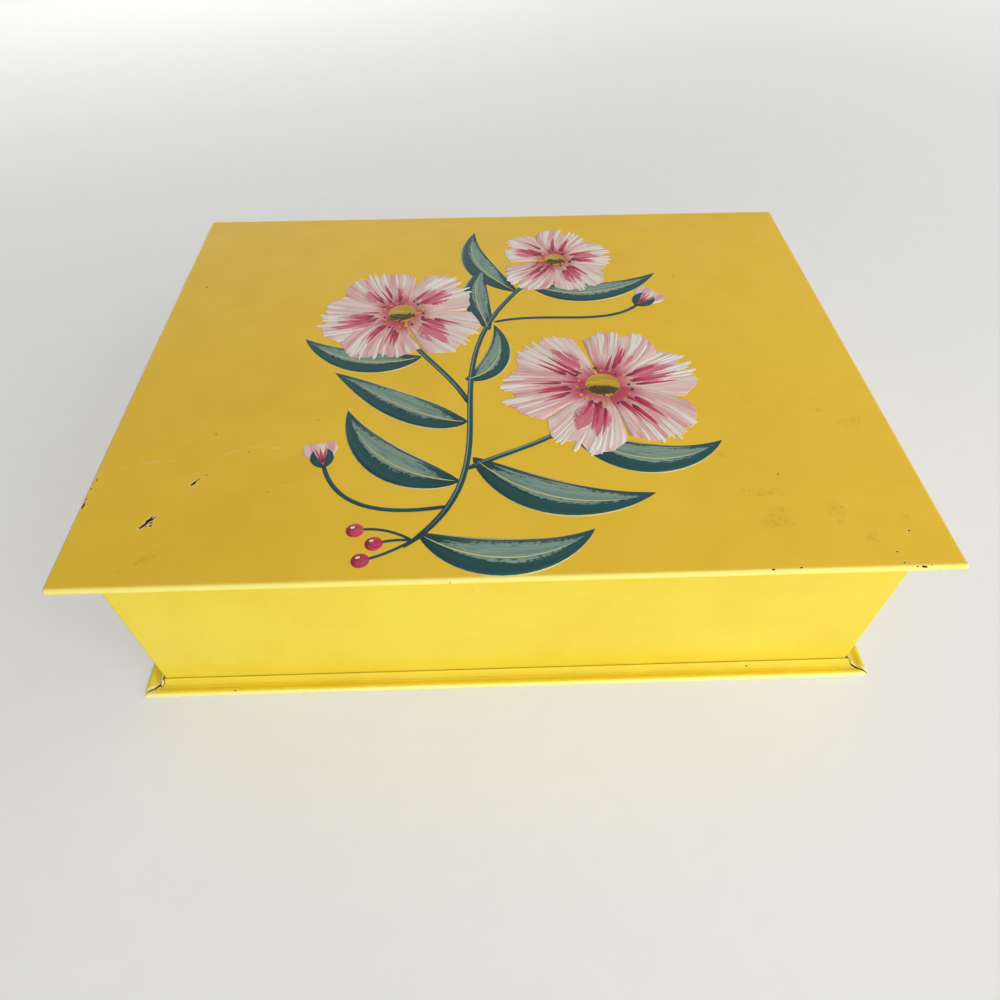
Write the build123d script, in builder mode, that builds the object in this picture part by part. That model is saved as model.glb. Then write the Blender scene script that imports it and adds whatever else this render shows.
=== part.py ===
"""Hinged tin box for letter paper and keepsakes.

Painted sheet steel throughout. The walls stand on a base whose four edges are folded
back over the out-turned foot of the walls and lean up against them, with open mitres at
the corners. The lid is one flat sheet with a beaded edge, stiffened by a three-sided rim
that drops inside the walls. It swings on a continuous hinge under its rear overhang.

The origin is on the table, under the middle of the box. +Z is up and the front faces -Y.
"""

import math
import os

from build123d import *

# Driving dimensions, in millimetres and degrees
wall_width = 286.0          # across the outer faces of the side walls
wall_depth = 221.0          # across the outer faces of the front and back walls
overall_height = 82.5       # table to lid top
sheet = 0.5                 # thickness of the steel sheet
lid_overhang = 9.5          # lid edge beyond the walls, all round
base_overhang = 7.1         # base edge beyond the walls, all round
edge_radius = 1.4           # outer radius of the rolled edges of lid and base
fold_slope = 2.1            # run of the slope from the base's rolled edge to its flat fold
fold_edge_height = 4.3      # table to the raw edge of the base's fold
fold_lean = 62.0            # how steeply the fold's inner edge leans up to the walls
base_mitre_gap = 0.9        # open seam at each corner of the base
lid_mitre_gap = 0.3         # seam at each corner under the lid
curl_sweep = 290.0          # how far the lid's bead is rolled round
bend_radius = 0.4           # inner radius of the folds
wall_corner_radius = 1.5    # outer radius of the upright corners
wall_hem_depth = 6.0        # folded-in top edge of the walls
seam_tab_width = 12.0       # tabs behind the back wall, where it is welded on
rim_drop = 9.0              # lid rim below the lid sheet
rim_flange_width = 8.0      # lid rim's welded flange
rim_corner_radius = 2.5     # outer radius of the rim's upright corners
hinge_end_margin = 18.0     # bare wall beyond each end of the hinge
knuckle_pitch = 13.0        # wanted length of one knuckle and its gap
knuckle_gap = 0.3           # between neighbouring knuckles
leaf_sheet = 0.6            # thickness of the hinge leaves
body_leaf_width = 13.0      # hinge axis to the lower edge of the wall's leaf
lid_leaf_width = 15.0       # hinge axis to the inner edge of the lid's leaf
leaf_corner_radius = 2.5    # rounded corners of both leaves
knuckle_curl_end = 380.0    # angle at which the rolled knuckle stops
pin_radius = 1.3            # hinge pin
pin_end = 0.6               # pin beyond the last knuckle at each end

# Clearances, in millimetres
foot_clearance = 0.2        # wall to the raw edge of the base's fold
fold_clearance = 0.3        # foot of the walls to the inside of the fold
hem_clearance = 0.1         # half the slit inside the walls' folded top edge
lid_seat_clearance = 0.2    # top of the walls to what lies on them
tab_clearance = 0.3         # seam tabs to the back wall's folded top edge
rim_clearance = 0.8         # lid rim to the inside of the walls
rim_leaf_clearance = 2.0    # ends of the lid rim to the hinge leaf
pin_clearance = 0.06        # pin to the bore of the knuckles
hinge_clearance = 0.2       # knuckles to the wall and to the lid
notch_clearance = 0.5       # knuckles to the leaf they turn in

# Places that follow from them
half_width = wall_width / 2
half_depth = wall_depth / 2
lid_under = overall_height - sheet
wall_top = lid_under - lid_seat_clearance
back_top = lid_under - leaf_sheet - lid_seat_clearance
fold_flat_start = edge_radius + fold_slope
foot_top = 2 * sheet
bend_top = foot_top + bend_radius
hem_radius = sheet + hem_clearance
hem_thickness = 2 * hem_radius
knuckle_radius = pin_radius + pin_clearance + leaf_sheet
hinge_standoff = knuckle_radius + hinge_clearance
axis_y = half_depth + hinge_standoff
axis_z = lid_under - hinge_standoff
hinge_length = wall_width - 2 * hinge_end_margin
knuckle_count = 2 * round((hinge_length / knuckle_pitch - 1) / 2) + 1
knuckle_step = hinge_length / knuckle_count

BACKWARDS = Vector(0, 1, 0)
FORWARDS = Vector(0, -1, 0)
LEFTWARDS = Vector(-1, 0, 0)
RIGHTWARDS = Vector(1, 0, 0)
UPWARDS = Vector(0, 0, 1)


def side_plane(outward, distance, middle=Vector(0, 0, 0)):
    """The upright plane across one side's edge: its x is outward and its y is up."""
    return Plane(origin=outward * distance + middle, x_dir=outward, z_dir=outward.cross(UPWARDS))


def tangent_angle(start_x, start_y, radius):
    """Angle at which a line from a point meets a circle about the origin, turning left."""
    away = math.hypot(start_x, start_y)
    return math.degrees(math.atan2(start_y, start_x) + math.acos(radius / away))


def folded_edge():
    """Draws the base's edge, out to x = 0: rolled round, then folded back inwards.

    From the roll the fold slopes down to lie flat on the foot of the walls, and its inner
    edge leans up against them.
    """
    lean = math.radians(fold_lean)
    flat_top = foot_top + sheet
    rise_end = base_overhang - foot_clearance - sheet * math.sin(lean)
    rise_start = rise_end - (fold_edge_height - flat_top) / math.tan(lean)
    leave = 180 - tangent_angle(fold_slope, flat_top - edge_radius, edge_radius)
    with BuildLine() as outside:
        roll = CenterArc((-edge_radius, edge_radius), edge_radius, -90, 90 + leave)
        FilletPolyline(
            roll @ 1,
            (-fold_flat_start, flat_top),
            (-rise_start, flat_top),
            (-rise_end, fold_edge_height),
            radius=bend_radius,
        )
        offset(amount=sheet, side=Side.LEFT)
    make_face(outside.line)


def beaded_edge():
    """Draws the lid's edge, out to x = 0: rolled round into an open bead."""
    with BuildLine() as outside:
        CenterArc((-edge_radius, edge_radius), edge_radius, -90, curl_sweep)
        offset(amount=sheet, side=Side.LEFT)
    make_face(outside.line)


def wall_section(top):
    """Draws a wall with its outer face on x = 0, its foot turned out and its top folded in."""
    foot_end = base_overhang - fold_flat_start - fold_clearance
    with BuildLine() as outside:
        Line((foot_end, foot_top), (bend_radius, foot_top))
        CenterArc((bend_radius, bend_top), bend_radius, 270, -90)
        Line((0, bend_top), (0, top - hem_radius))
        CenterArc((-hem_radius, top - hem_radius), hem_radius, 0, 180)
        Line((-hem_thickness, top - hem_radius), (-hem_thickness, top - wall_hem_depth))
        offset(amount=sheet, side=Side.LEFT)
    make_face(outside.line)


def rim_section():
    """Draws the lid rim with its outer face on x = 0 and its flange turned inwards."""
    outer_bend = bend_radius + sheet
    with BuildLine() as outside:
        Line((0, lid_under - rim_drop), (0, lid_under - outer_bend))
        CenterArc((-outer_bend, lid_under - outer_bend), outer_bend, 0, 90)
        Line((-outer_bend, lid_under), (-rim_flange_width, lid_under))
        offset(amount=sheet, side=Side.LEFT)
    make_face(outside.line)


def leaf_section(leaf_width):
    """Draws a hinge leaf about its axis: flat from x = leaf_width, then rolled into a knuckle.

    Its back lies at y = hinge_standoff, against the sheet that it is welded to.
    """
    flat_start = 2 * knuckle_radius
    arrive = tangent_angle(flat_start, hinge_standoff, knuckle_radius)
    with BuildLine() as outside:
        curl = CenterArc((0, 0), knuckle_radius, arrive, knuckle_curl_end - arrive)
        Polyline((leaf_width, hinge_standoff), (flat_start, hinge_standoff), curl @ 0)
        offset(amount=leaf_sheet, side=Side.LEFT)
    make_face(outside.line)


def edge_strip(draw_section, length, depth, cap_radius, seam_gap):
    """One side's rolled edge, facing +X with its middle on the origin and mitred ends.

    Its outermost part stops square, at cap_radius from the corners, and the rest is mitred.
    """
    setback = seam_gap / math.sqrt(2)
    half = length / 2
    end = half - cap_radius
    with BuildPart() as strip:
        with BuildSketch(side_plane(RIGHTWARDS, 0)):
            draw_section()
        extrude(amount=half, both=True)
        with BuildSketch():
            with BuildLine():
                Polyline(
                    (edge_radius, end),
                    (-cap_radius, end),
                    (-cap_radius, end - setback),
                    (-depth, half - depth - setback),
                    (-depth, depth + setback - half),
                    (-cap_radius, setback - end),
                    (-cap_radius, -end),
                    (edge_radius, -end),
                    close=True,
                )
            make_face()
        extrude(amount=overall_height, mode=Mode.INTERSECT)
    return strip.part


def corner_cap():
    """The closed quarter of a ball that ends the lid's bead, at the corner towards +X +Y."""
    with BuildPart() as cap:
        with BuildSketch(side_plane(RIGHTWARDS, 0)):
            with BuildLine():
                CenterArc((0, edge_radius), edge_radius, -90, 180)
                offset(amount=sheet, side=Side.LEFT)
            make_face()
        revolve(axis=Axis.Z, revolution_arc=90)
    return cap.part


# The base: a flat sheet with all four edges rolled and folded back inwards
base_width = wall_width + 2 * base_overhang
base_depth = wall_depth + 2 * base_overhang
base_side = edge_strip(folded_edge, base_depth, base_overhang, 0, base_mitre_gap)
base_front = edge_strip(folded_edge, base_width, base_overhang, 0, base_mitre_gap)

with BuildPart() as base_pan:
    with BuildSketch():
        Rectangle(base_width - 2 * edge_radius, base_depth - 2 * edge_radius)
    extrude(amount=sheet)
    with PolarLocations(base_width / 2, 2):
        add(base_side)
    with PolarLocations(base_depth / 2, 2, start_angle=90):
        add(base_front)

# The front and both sides: one sheet, bent at the corners and behind the back wall
tab_face = half_depth - sheet
tab_end = half_width - wall_corner_radius - seam_tab_width
side_middle = Vector(0, -sheet / 2, 0)

with BuildPart() as wall_wrap:
    with BuildSketch(Plane.XY.offset(bend_top)):
        with BuildLine():
            FilletPolyline(
                (-tab_end, tab_face),
                (-half_width, tab_face),
                (-half_width, -half_depth),
                (half_width, -half_depth),
                (half_width, tab_face),
                (tab_end, tab_face),
                radius=wall_corner_radius,
            )
            offset(amount=sheet, side=Side.LEFT)
        make_face()
    extrude(amount=wall_top - hem_radius - bend_top)
    with BuildSketch(side_plane(FORWARDS, half_depth)):
        wall_section(wall_top)
    extrude(amount=half_width - wall_corner_radius, both=True)
    for outward in (LEFTWARDS, RIGHTWARDS):
        with BuildSketch(side_plane(outward, half_width, side_middle)):
            wall_section(wall_top)
        extrude(amount=half_depth - wall_corner_radius - sheet / 2, both=True)
    # The tabs stop below the back wall's folded top edge
    with Locations((0, half_depth, back_top - wall_hem_depth - tab_clearance)):
        Box(
            wall_width - 2 * wall_corner_radius,
            3 * sheet,
            2 * wall_hem_depth,
            align=(Align.CENTER, Align.MAX, Align.MIN),
            mode=Mode.SUBTRACT,
        )

# The back wall, welded on over the two tabs and a little lower to clear the lid's leaf
with BuildPart() as back_wall:
    with BuildSketch(side_plane(BACKWARDS, half_depth)):
        wall_section(back_top)
    extrude(amount=half_width - wall_corner_radius - tab_clearance, both=True)

# The lid: a flat sheet with a beaded edge and closed round corners
lid_width = wall_width + 2 * lid_overhang
lid_depth = wall_depth + 2 * lid_overhang
lid_flat_width = lid_width - 2 * edge_radius
lid_flat_depth = lid_depth - 2 * edge_radius
lid_side = edge_strip(beaded_edge, lid_depth, 2 * edge_radius, edge_radius, lid_mitre_gap)
lid_front = edge_strip(beaded_edge, lid_width, 2 * edge_radius, edge_radius, lid_mitre_gap)
lid_corner = corner_cap()
lid_top = Plane(origin=(0, 0, overall_height), x_dir=(1, 0, 0), z_dir=(0, 0, -1))

with BuildPart() as lid_panel:
    with BuildSketch(lid_top):
        Rectangle(lid_flat_width, lid_flat_depth)
    extrude(amount=sheet)
    with Locations(lid_top):
        with PolarLocations(lid_width / 2, 2):
            add(lid_side)
        with PolarLocations(lid_depth / 2, 2, start_angle=90):
            add(lid_front)
        with Locations(
            Location((lid_flat_width / 2, lid_flat_depth / 2, 0), (0, 0, 0)),
            Location((-lid_flat_width / 2, lid_flat_depth / 2, 0), (0, 0, 90)),
            Location((-lid_flat_width / 2, -lid_flat_depth / 2, 0), (0, 0, 180)),
            Location((lid_flat_width / 2, -lid_flat_depth / 2, 0), (0, 0, 270)),
        ):
            add(lid_corner)

# The rim under the lid: front and sides, with a mitred flange welded to the lid
rim_half_width = half_width - hem_thickness - rim_clearance
rim_half_depth = half_depth - hem_thickness - rim_clearance
rim_back = axis_y - lid_leaf_width - rim_leaf_clearance
leg_front = rim_corner_radius - rim_half_depth
leg_middle = Vector(0, (leg_front + rim_back) / 2, 0)

with BuildPart() as lid_rim:
    with BuildSketch(Plane.XY.offset(lid_under - rim_drop)):
        with BuildLine():
            FilletPolyline(
                (-rim_half_width, rim_back),
                (-rim_half_width, -rim_half_depth),
                (rim_half_width, -rim_half_depth),
                (rim_half_width, rim_back),
                radius=rim_corner_radius,
            )
            offset(amount=sheet, side=Side.LEFT)
        make_face()
    extrude(amount=rim_drop - bend_radius - sheet)
    with BuildSketch(side_plane(FORWARDS, rim_half_depth)):
        rim_section()
    extrude(amount=rim_half_width - rim_corner_radius, both=True)
    for outward in (LEFTWARDS, RIGHTWARDS):
        with BuildSketch(side_plane(outward, rim_half_width, leg_middle)):
            rim_section()
        extrude(amount=(rim_back - leg_front) / 2, both=True)
    with Locations(
        Location((-rim_half_width, -rim_half_depth, lid_under), (0, 0, 45)),
        Location((rim_half_width, -rim_half_depth, lid_under), (0, 0, 135)),
    ):
        Box(4 * rim_flange_width, lid_mitre_gap, 3 * sheet, mode=Mode.SUBTRACT)

# The hinge: two leaves with interlocking knuckles, rolled round one long pin
notch_length = knuckle_step + knuckle_gap
notch_reach = knuckle_radius + notch_clearance

with BuildPart() as hinge_leaf_body:
    with BuildSketch(Plane(origin=(0, axis_y, axis_z), x_dir=-UPWARDS, z_dir=LEFTWARDS)):
        leaf_section(body_leaf_width)
    extrude(amount=hinge_length / 2, both=True)
    lower_edge = hinge_leaf_body.edges().filter_by(Axis.Y).group_by(Axis.Z)[0]
    fillet(lower_edge, leaf_corner_radius)
    with Locations((0, axis_y, axis_z - notch_reach)):
        with GridLocations(2 * knuckle_step, 0, knuckle_count // 2, 1):
            Box(
                notch_length,
                4 * knuckle_radius,
                4 * knuckle_radius,
                align=(Align.CENTER, Align.CENTER, Align.MIN),
                mode=Mode.SUBTRACT,
            )

with BuildPart() as hinge_leaf_lid:
    with BuildSketch(Plane(origin=(0, axis_y, axis_z), x_dir=FORWARDS, z_dir=LEFTWARDS)):
        leaf_section(lid_leaf_width)
    extrude(amount=hinge_length / 2, both=True)
    front_edge = hinge_leaf_lid.edges().filter_by(Axis.Z).group_by(Axis.Y)[0]
    fillet(front_edge, leaf_corner_radius)
    with Locations((0, axis_y - notch_reach, axis_z)):
        with GridLocations(2 * knuckle_step, 0, knuckle_count // 2 + 1, 1):
            Box(
                notch_length,
                4 * knuckle_radius,
                4 * knuckle_radius,
                align=(Align.CENTER, Align.MIN, Align.CENTER),
                mode=Mode.SUBTRACT,
            )

with BuildPart() as hinge_pin:
    with BuildSketch(Plane(origin=(0, axis_y, axis_z), z_dir=RIGHTWARDS)):
        Circle(pin_radius)
    extrude(amount=hinge_length / 2 + pin_end, both=True)
    chamfer(hinge_pin.edges().filter_by(GeomType.CIRCLE), pin_end / 2)

# One file for each piece, named after its node
base_pan.part.label = "base_pan"
wall_wrap.part.label = "wall_wrap"
back_wall.part.label = "back_wall"
lid_panel.part.label = "lid_panel"
lid_rim.part.label = "lid_rim"
hinge_leaf_body.part.label = "hinge_leaf_body"
hinge_leaf_lid.part.label = "hinge_leaf_lid"
hinge_pin.part.label = "hinge_pin"

os.makedirs("parts", exist_ok=True)
export_step(base_pan.part, "parts/base_pan.step")
export_step(wall_wrap.part, "parts/wall_wrap.step")
export_step(back_wall.part, "parts/back_wall.step")
export_step(lid_panel.part, "parts/lid_panel.step")
export_step(lid_rim.part, "parts/lid_rim.step")
export_step(hinge_leaf_body.part, "parts/hinge_leaf_body.step")
export_step(hinge_leaf_lid.part, "parts/hinge_leaf_lid.step")
export_step(hinge_pin.part, "parts/hinge_pin.step")
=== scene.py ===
"""Dresses the hinged tin box: stove enamel, wear, a painted spray of flowers and a small studio.

Lengths in the classes below are in millimetres, as on a drawing, unless a class says
otherwise, and become metres where a mesh or a shader is made. The origin is on the table
under the middle of the box, +Z is up, and the front wall faces -Y.
"""

import logging
import math
from dataclasses import dataclass, field
from enum import Enum
from typing import Callable, Union

import bpy
import numpy as np
from mathutils import Matrix, Vector


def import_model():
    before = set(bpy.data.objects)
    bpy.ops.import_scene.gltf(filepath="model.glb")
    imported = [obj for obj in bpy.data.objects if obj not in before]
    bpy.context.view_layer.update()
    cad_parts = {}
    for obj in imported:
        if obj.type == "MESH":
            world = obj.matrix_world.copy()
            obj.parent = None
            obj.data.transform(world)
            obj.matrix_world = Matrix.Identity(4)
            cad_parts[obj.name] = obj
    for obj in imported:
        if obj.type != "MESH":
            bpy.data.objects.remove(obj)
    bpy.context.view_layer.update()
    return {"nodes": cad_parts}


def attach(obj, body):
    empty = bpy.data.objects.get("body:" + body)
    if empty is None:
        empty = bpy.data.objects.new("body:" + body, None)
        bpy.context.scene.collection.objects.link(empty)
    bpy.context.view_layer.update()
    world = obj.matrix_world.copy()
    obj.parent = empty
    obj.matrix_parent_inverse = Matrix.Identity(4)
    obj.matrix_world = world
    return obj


log = logging.getLogger("tin_box")

MM = 0.001
LID_TOP = 82.5
Rgb = tuple[float, float, float]
Operand = Union["Signal", float, int, tuple]


def swatch(red: int, green: int, blue: int) -> Rgb:
    """Turns a display colour into the linear one that a shader takes.

    Args:
        red: Red of the display colour, 0 to 255.
        green: Green, 0 to 255.
        blue: Blue, 0 to 255.

    Returns:
        The linear colour, each channel from 0 to 1.
    """
    shown = np.array([red, green, blue], float) / 255.0
    linear = np.where(shown <= 0.04045, shown / 12.92, ((shown + 0.055) / 1.055) ** 2.4)
    return tuple(float(channel) for channel in linear)


# Shader maths


def maths(operation: str, turned: bool = False) -> Callable[..., "Signal"]:
    """Makes a method of Signal that adds one Math node.

    Args:
        operation: What the node works out.
        turned: Whether self is the last value, not the first.

    Returns:
        The method.
    """

    def method(self: "Signal", *others: Operand) -> "Signal":
        """Adds the node and gives its result."""
        values = (*others, self) if turned else (self, *others)
        return self.canvas.node("ShaderNodeMath", {"operation": operation}, dict(enumerate(values)))

    return method


class Signal:
    """One output socket of a material, used like a number in an expression.

    above and below give 1 where self is over or under a level, else 0. wrap takes the ends
    of the range that it wraps into.
    """

    __add__, __radd__ = maths("ADD"), maths("ADD", True)
    __sub__, __rsub__ = maths("SUBTRACT"), maths("SUBTRACT", True)
    __mul__, __rmul__ = maths("MULTIPLY"), maths("MULTIPLY", True)
    __truediv__, __pow__, __abs__ = maths("DIVIDE"), maths("POWER"), maths("ABSOLUTE")
    above, below = maths("GREATER_THAN"), maths("LESS_THAN")
    larger, smaller = maths("MAXIMUM"), maths("MINIMUM")
    wrap = maths("WRAP")

    def __init__(self, canvas: "Canvas", socket: bpy.types.NodeSocket) -> None:
        """Wraps a socket of the canvas's node tree."""
        self.canvas = canvas
        self.socket = socket

    def repeat(self, length: float) -> "Signal":
        """Distance from the nearest multiple of length."""
        return abs(self.wrap(length / 2, -length / 2))

    def ease(self, start: float, end: float) -> "Signal":
        """Rises smoothly from 0 at start to 1 at end; start may be the higher one."""
        ends = {0: self, 1: start, 2: end, 3: 0.0, 4: 1.0}
        return self.canvas.node("ShaderNodeMapRange", {"interpolation_type": "SMOOTHSTEP"}, ends)


class Canvas:
    """A material's or the sky's node tree, with one way to add any node."""

    def __init__(self, name: str, sky: bool = False) -> None:
        """Starts a material or a sky that holds only its shader and its output.

        Args:
            name: The material's or the sky's name.
            sky: Whether it is the sky.
        """
        self.owner = (bpy.data.worlds if sky else bpy.data.materials).new(name)
        self.owner.use_nodes = True
        self.tree = self.owner.node_tree
        self.shader = self.tree.nodes["Background" if sky else "Principled BSDF"]

    def node(
        self,
        kind: str,
        settings: dict[str, object],
        inputs: dict[Union[str, int], Operand],
        output: Union[str, int] = 0,
    ) -> Signal:
        """Adds one node.

        Args:
            kind: The node's type, such as ShaderNodeTexNoise.
            settings: The node's own settings, made first.
            inputs: A value or a signal for each socket named or numbered.
            output: The name or number of the output that is wanted.

        Returns:
            That output.
        """
        made = self.tree.nodes.new(kind)
        for name, value in settings.items():
            setattr(made, name, value)
        for key, value in inputs.items():
            if isinstance(value, Signal):
                self.tree.links.new(value.socket, made.inputs[key])
            else:
                made.inputs[key].default_value = value
        return Signal(self, made.outputs[output])

    def place(self) -> Signal:
        """The point of the surface, in the piece's own frame, in metres."""
        return self.node("ShaderNodeTexCoord", {}, {}, "Object")

    def split(self, vector: Signal) -> tuple[Signal, Signal, Signal]:
        """The three numbers of a vector, here in millimetres.

        Args:
            vector: A place in metres.

        Returns:
            Its x, y and z.
        """
        scaled = self.node("ShaderNodeVectorMath", {"operation": "SCALE"}, {0: vector, "Scale": 1 / MM})
        parts = [self.node("ShaderNodeSeparateXYZ", {}, {0: scaled}, axis) for axis in "XYZ"]
        return parts[0], parts[1], parts[2]

    def join(self, x: Operand, y: Operand, z: Operand) -> Signal:
        """A vector of three numbers."""
        return self.node("ShaderNodeCombineXYZ", {}, {0: x, 1: y, 2: z})

    def noise(self, vector: Signal, scale: float, detail: float = 2.0, rough: float = 0.5) -> Signal:
        """Soft random hills, about 0 to 1 with a middle of one half."""
        wanted = {"Vector": vector, "Scale": scale, "Detail": detail, "Roughness": rough}
        return self.node("ShaderNodeTexNoise", {}, wanted)

    def cells(self, vector: Signal, scale: float) -> tuple[Signal, Signal]:
        """Distance to the nearest of scattered points, and a random number for each.

        Args:
            vector: The place on the surface.
            scale: How many points lie along a metre.

        Returns:
            The distance, as a share of their spacing, and the number, 0 to 1.
        """
        wanted = {"Vector": vector, "Scale": scale}
        near = self.node("ShaderNodeTexVoronoi", {}, wanted, "Distance")
        colour = Signal(self, near.socket.node.outputs["Color"])
        return near, self.node("ShaderNodeSeparateColor", {}, {0: colour}, "Red")

    def blend(self, start: Operand, end: Operand, amount: Operand) -> Signal:
        """Mixes two colours, from start at 0 to end at 1."""
        start, end = (value if isinstance(value, Signal) else (*value, 1.0) for value in (start, end))
        return self.node("ShaderNodeMix", {"data_type": "RGBA"}, {0: amount, 6: start, 7: end}, 2)

    def bump(self, height: Signal, distance: float) -> Signal:
        """Turns a height of 0 to 1 into a surface slope; distance is its real depth in mm."""
        inputs = {"Strength": 1.0, "Distance": distance * MM, "Height": height}
        return self.node("ShaderNodeBump", {}, inputs)

    def seen(self) -> Signal:
        """1 where the camera sees a surface, straight, in gloss or through glass, else 0.

        Returns:
            The share, 0 or 1.
        """
        rays = ("Is Camera Ray", "Is Glossy Ray", "Is Transmission Ray")
        straight, gloss, through = (self.node("ShaderNodeLightPath", {}, {}, ray) for ray in rays)
        return straight.larger(gloss).larger(through)

    def wire(self, **sockets: Operand) -> bpy.types.ID:
        """Sets the shader's sockets, with underscores for the spaces in their names.

        Args:
            **sockets: A value or a signal for each socket.

        Returns:
            The finished material or sky.
        """
        for name, value in sockets.items():
            socket = self.shader.inputs[name.replace("_", " ")]
            if isinstance(value, Signal):
                self.tree.links.new(value.socket, socket)
            else:
                socket.default_value = value
        return self.owner


# Finishes


@dataclass(frozen=True)
class Mark:
    """A chip, pit or smudge at one place of a flat sheet, or a thin scratch that arches.

    Its middle, length and width are in millimetres and its turn in degrees.
    """

    x: float
    y: float
    length: float
    width: float
    turn: float = 0.0
    rise: float = 0.0


@dataclass(frozen=True)
class Enamel:
    """Yellow stove enamel on sheet steel: its two tones, and what its wear lays bare.

    gloss is how strongly it reflects, lacquer the share of a clear coat over it, and shine
    how metallic the bare steel is.
    """

    colour: Rgb
    deep: Rgb
    steel: Rgb = swatch(34, 10, 4)
    rust: Rgb = swatch(64, 26, 8)
    roughness: float = 0.34
    gloss: float = 0.3
    lacquer: float = 0.1
    shine: float = 0.0


class Coating:
    """The layers of one enamelled material while it is being made.

    Positions are in millimetres, the noises' scales in waves to the metre. Heights are in
    shares of the bump's depth, so a chip is three depths deep and a weld's dimple sixteen.
    """

    pale_line: Rgb = swatch(252, 232, 140)
    pale_scratch: Rgb = swatch(255, 236, 160)
    lifted_rim: Rgb = swatch(250, 222, 166)
    pooled: Rgb = swatch(150, 116, 40)
    weld_reach: float = 1.9
    weld_floor: float = 1.0
    weld_depth: float = 16.0
    speck_share: float = 0.05
    speck_size: float = 0.075
    chip_depth: float = 3.0
    bump_depth: float = 0.02

    def __init__(self, name: str, enamel: Enamel) -> None:
        """Starts a material with the sound enamel: its changes of colour and its ripple.

        Args:
            name: The material's name.
            enamel: Its tones and what lies under them.
        """
        canvas = Canvas(name)
        self.enamel = enamel
        self.canvas = canvas
        self.place = canvas.place()
        self.x, self.y, self.z = canvas.split(self.place)
        slow = canvas.noise(self.place, 9.0, 3.0, 0.55).ease(0.35, 0.68)
        fine = canvas.noise(self.place, 190.0, 4.0, 0.62)
        cloud = canvas.noise(self.place, 48.0, 3.0, 0.6).ease(0.4, 0.66)
        self.drift = slow * 0.5 + cloud * 0.3 + fine.ease(0.55, 0.8) * 0.14
        self.colour = canvas.blend(enamel.colour, enamel.deep, self.drift)
        self.bare: Operand = 0.0
        self.smear = canvas.noise(self.place, 26.0, 4.0, 0.6)
        ripple = canvas.noise(self.place, 900.0, 2.0, 0.5) * 0.35
        self.height = ripple + canvas.noise(self.place, 15.0, 1.0) * 2.0

    def repaint(self, mask: Signal, enamel: Enamel) -> None:
        """Changes to another enamel, with the same slow changes, where mask is 1."""
        other = self.canvas.blend(enamel.colour, enamel.deep, self.drift)
        self.colour = self.canvas.blend(self.colour, other, mask)

    def stain_or_light(self, mask: Signal, colour: Rgb) -> None:
        """Lays a colour where mask is 1; it draws real stains, and also painted highlights and painted shade.
        """
        self.colour = self.canvas.blend(self.colour, colour, mask)

    def strip(self, mask: Signal) -> None:
        """Takes the enamel off down to the steel where mask is 1."""
        self.bare = mask.larger(self.bare)

    def specks(self) -> None:
        """Scatters dust specks and pinholes: a share of scattered points becomes one each."""
        near, chance = self.canvas.cells(self.place, 150.0)
        size = chance.ease(self.speck_share, 0.0) * self.speck_size
        self.strip(near.ease(size + 0.01, size - 0.01) * size.above(0.012) * 0.8)

    def hairlines(self, amount: Operand) -> None:
        """Draws fine pale scratches in patches, in two directions.

        Args:
            amount: How strongly they show, 0 to 1.
        """
        patches = self.canvas.noise(self.place, 17.0, 2.0).ease(0.5, 0.66)
        total: Operand = 0.0
        for along, across, offset in ((0.9, 0.35, 3.0), (-0.5, 0.8, 11.0)):
            run = self.x * along + self.y * across
            side = self.y * along - self.x * across
            line = self.canvas.noise(self.canvas.join(run * 0.012, side * 1.1, offset), 1.0, 3.0, 0.7)
            total = line.ease(0.7, 0.76) + total
        self.stain_or_light(patches * total * amount, self.pale_line)

    def chip(self, mark: Mark, where: Signal) -> None:
        """Breaks a ragged flake of enamel off one place, with a pale rim of lifted enamel.

        Args:
            mark: Where it is and how large.
            where: 1 on the face that can carry it.
        """
        reach = self.patch(mark, 0.9)
        self.stain_or_light(reach.ease(1.9, 1.3) * where * 0.55, self.lifted_rim)
        self.strip(reach.ease(1.08, 0.92) * where)

    def scratch(self, mark: Mark, where: Signal) -> None:
        """Draws one long pale scratch that arches: rise times one less the square of its run.

        Args:
            mark: Where it is and how large.
            where: 1 on the face that can carry it.
        """
        along, across = self._beside(mark)
        run = along / (mark.length / 2)
        away = abs(across - (1.0 - run * run) * mark.rise)
        broken = self.canvas.noise(self.place, 300.0, 3.0, 0.7).ease(0.46, 0.62)
        line = away.ease(mark.width, 0.1 * mark.width) * abs(run).ease(1.0, 0.8)
        self.stain_or_light(line * broken * where * 0.6, self.pale_scratch)

    def _beside(self, mark: Mark) -> tuple[Signal, Signal]:
        """How far a point lies along and across a mark from its middle.

        Args:
            mark: The mark.

        Returns:
            The two distances, in millimetres.
        """
        turn = math.radians(mark.turn)
        off_x, off_y = self.x - mark.x, self.y - mark.y
        along = off_x * math.cos(turn) + off_y * math.sin(turn)
        return along, off_y * math.cos(turn) - off_x * math.sin(turn)

    def patch(self, mark: Mark, ragged: float, grain: float = 900.0) -> Signal:
        """Distance from a mark's middle, 1 at its rim, with a ragged outline.

        Args:
            mark: Where the mark is and how large.
            ragged: How far the outline wanders, as a share of the mark.
            grain: How fine the raggedness is: waves to the metre.

        Returns:
            The distance: under 1 inside the mark.
        """
        along, across = self._beside(mark)
        along, across = along / (mark.length / 2), across / (mark.width / 2)
        wander = (self.canvas.noise(self.place, grain, 3.0, 0.7) - 0.5) * (2 * ragged)
        return (along * along + across * across) ** 0.5 + wander

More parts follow.
